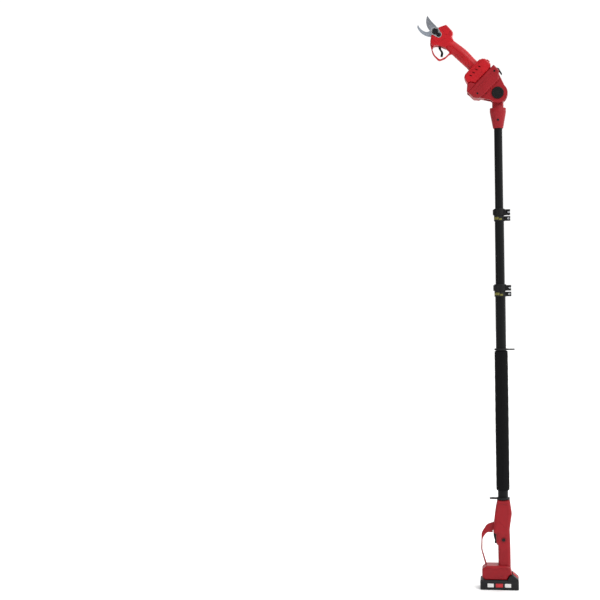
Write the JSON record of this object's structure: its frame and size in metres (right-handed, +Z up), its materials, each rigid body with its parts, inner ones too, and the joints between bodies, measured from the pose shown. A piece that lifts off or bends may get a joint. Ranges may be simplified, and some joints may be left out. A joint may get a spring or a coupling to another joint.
{
  "type": "telescoping pole pruner",
  "caption": "Battery pole pruner: telescoping tubes with flip-lever clamps, tilting head and bypass blades worked from a pistol handle.",
  "frame": {"origin": "on the axis of the pole's tubes, at the height of the flat bottom of the battery that the tool stands on", "axes": "+Z up along the pole, +X towards the battery's latch end, -X the way the pruner leans, -Y the side with the gears and the tilt button"},
  "size_m": [0.2853, 0.072, 1.7543],
  "materials": {
    "pruner_red_plastic": "fine moulded texture",
    "pole_red_plastic": "fine moulded texture",
    "black_plastic": "fine moulded texture",
    "battery_black_plastic": "fine moulded texture",
    "latch_red": "moulded",
    "black_tube": "black anodised",
    "foam": "closed-cell foam",
    "steel_screws": "zinc plated",
    "steel_pins": "ground",
    "spring_steel": "drawn wire",
    "copper_terminals": "contacts on a moulded block",
    "cell_cans": "wrapped cans, aluminium's density",
    "circuit_board": "solder mask",
    "cast_aluminium": "bead blasted",
    "hook_steel": "satin grey",
    "blade_steel": "ground",
    "black_gear_steel": "black oxide",
    "motor_steel": "drawn can"
  },
  "bodies": {
    "pole": {"outer_tube": "black_tube", "foam_grip": "foam", "strap_rings": "black_plastic", "handle_case_front": "pole_red_plastic", "handle_case_rear": "pole_red_plastic", "handle_case_screws": "steel_screws", "handle_trigger_pin": "steel_pins", "handle_trigger_spring": "spring_steel", "handle_trigger_switch": "black_plastic", "handle_terminals": "copper_terminals", "lower_clamp_collar": "black_plastic", "lower_clamp_hardware": "steel_screws"},
    "handle_trigger": {"handle_trigger": "black_plastic"},
    "lock_off_button": {"lock_off_button": "black_plastic"},
    "battery": {"battery_lower_case": "battery_black_plastic", "battery_upper_case": "battery_black_plastic", "battery_cells": "cell_cans", "battery_board": "circuit_board", "battery_latch_spring": "spring_steel"},
    "battery_latch": {"battery_latch": "latch_red"},
    "lower_clamp_lever": {"lower_clamp_lever": "black_plastic"},
    "mid_section": {"mid_tube": "black_tube", "mid_tube_bush": "black_plastic", "upper_clamp_collar": "black_plastic", "upper_clamp_hardware": "steel_screws"},
    "upper_clamp_lever": {"upper_clamp_lever": "black_plastic"},
    "top_section": {"inner_tube": "black_tube", "inner_tube_bush": "black_plastic", "head_sleeve": "pole_red_plastic", "tilt_neck": "black_plastic", "sleeve_screw": "steel_screws"},
    "adaptor": {"adaptor_case_front": "pole_red_plastic", "adaptor_case_rear": "pole_red_plastic", "adaptor_screws": "steel_screws", "adaptor_contacts": "copper_terminals", "tilt_bolt": "steel_screws", "tilt_washers": "steel_pins", "tilt_lock_spring": "spring_steel"},
    "tilt_lock_button": {"tilt_lock_button": "black_plastic"},
    "adaptor_catch": {"adaptor_catch": "black_plastic"},
    "pruner": {"pruner_case_front": "pruner_red_plastic", "pruner_case_rear": "pruner_red_plastic", "pruner_case_screws": "steel_screws", "gear_housing": "cast_aluminium", "hook_blade": "hook_steel", "hook_blade_screws": "steel_screws", "drive_motor": "motor_steel", "planetary_gearbox": "motor_steel", "pruner_control_board": "circuit_board", "pruner_terminals": "copper_terminals", "pruner_trigger_pin": "steel_pins", "pruner_trigger_spring": "spring_steel"},
    "pruner_trigger": {"pruner_trigger": "black_plastic"},
    "pruner_power_button": {"pruner_power_button": "black_plastic"},
    "cutting_blade": {"cutting_blade": "blade_steel", "blade_gear": "black_gear_steel", "blade_pivot_bolt": "black_gear_steel"},
    "pinion": {"pinion_gear": "black_gear_steel", "pinion_mitre_gear": "black_gear_steel"},
    "motor_shaft": {"motor_mitre_gear": "black_gear_steel"}
  },
  "joints": [
    {"name": "handle_trigger_press", "type": "hinge", "parent": "pole", "child": "handle_trigger", "pos_m": [-0.019, 0, 0.178], "axis": [0, -1, 0], "range_deg": [0, 8], "stiffness_Nm_per_rad": 0.6, "deforming": ["handle_trigger_spring"]},
    {"name": "lock_off_press", "type": "slide", "parent": "pole", "child": "lock_off_button", "axis": [0, 1, 0], "range_m": [0, 0.003], "stiffness_N_per_m": 300},
    {"name": "battery_slide", "type": "slide", "parent": "pole", "child": "battery", "axis": [1, 0, 0], "range_m": [0, 0.084]},
    {"name": "battery_latch_press", "type": "slide", "parent": "battery", "child": "battery_latch", "axis": [0, 0, -1], "range_m": [0, 0.0033], "stiffness_N_per_m": 400, "deforming": ["battery_latch_spring"]},
    {"name": "lower_clamp_open", "type": "hinge", "parent": "pole", "child": "lower_clamp_lever", "pos_m": [0.027, -0.0134, 0.9145], "axis": [0, 0, 1], "range_deg": [0, 110]},
    {"name": "mid_tube_slide", "type": "slide", "parent": "pole", "child": "mid_section", "axis": [0, 0, 1], "range_m": [-0.185, 0.3]},
    {"name": "upper_clamp_open", "type": "hinge", "parent": "mid_section", "child": "upper_clamp_lever", "pos_m": [0.027, -0.0134, 1.1445], "axis": [0, 0, 1], "range_deg": [0, 110]},
    {"name": "inner_tube_slide", "type": "slide", "parent": "mid_section", "child": "top_section", "axis": [0, 0, 1], "range_m": [-0.24, 0.23]},
    {"name": "head_tilt", "type": "hinge", "parent": "top_section", "child": "adaptor", "pos_m": [0, 0, 1.507], "axis": [0, -1, 0], "range_deg": [-45, 40]},
    {"name": "tilt_lock_press", "type": "slide", "parent": "adaptor", "child": "tilt_lock_button", "axis": [0, 1, 0], "range_m": [0, 0.0032], "stiffness_N_per_m": 800, "deforming": ["tilt_lock_spring"]},
    {"name": "adaptor_catch_press", "type": "hinge", "parent": "adaptor", "child": "adaptor_catch", "pos_m": [-0.00481, 0, 1.58224], "axis": [0, 1, 0], "range_deg": [0, 7], "stiffness_Nm_per_rad": 0.3},
    {"name": "pruner_slide", "type": "slide", "parent": "adaptor", "child": "pruner", "axis": [0.7071, 0, 0.7071], "range_m": [0, 0.084]},
    {"name": "pruner_trigger_pull", "type": "hinge", "parent": "pruner", "child": "pruner_trigger", "pos_m": [-0.17112, 0, 1.6661], "axis": [0, -1, 0], "range_deg": [0, 12], "stiffness_Nm_per_rad": 0.3, "deforming": ["pruner_trigger_spring"]},
    {"name": "power_button_press", "type": "slide", "parent": "pruner", "child": "pruner_power_button", "axis": [0.7071, 0, -0.7071], "range_m": [0, 0.001], "stiffness_N_per_m": 300},
    {"name": "blade_close", "type": "hinge", "parent": "pruner", "child": "cutting_blade", "pos_m": [-0.18668, 0, 1.70216], "axis": [0, -1, 0], "range_deg": [0, 46]},
    {"name": "pinion_turn", "type": "hinge", "parent": "pruner", "child": "pinion", "pos_m": [-0.17571, 0, 1.69119], "axis": [0, -1, 0], "range_deg": [-66, 0]},
    {"name": "motor_turn", "type": "hinge", "parent": "pruner", "child": "motor_shaft", "pos_m": [-0.17571, 0.002, 1.69119], "axis": [-0.7071, 0, 0.7071], "range_deg": [0, 66]}
  ],
  "couplings": [
    {"joint": "pinion_turn", "follows": "blade_close", "ratio": -1.4167},
    {"joint": "motor_turn", "follows": "blade_close", "ratio": 1.4167}
  ]
}
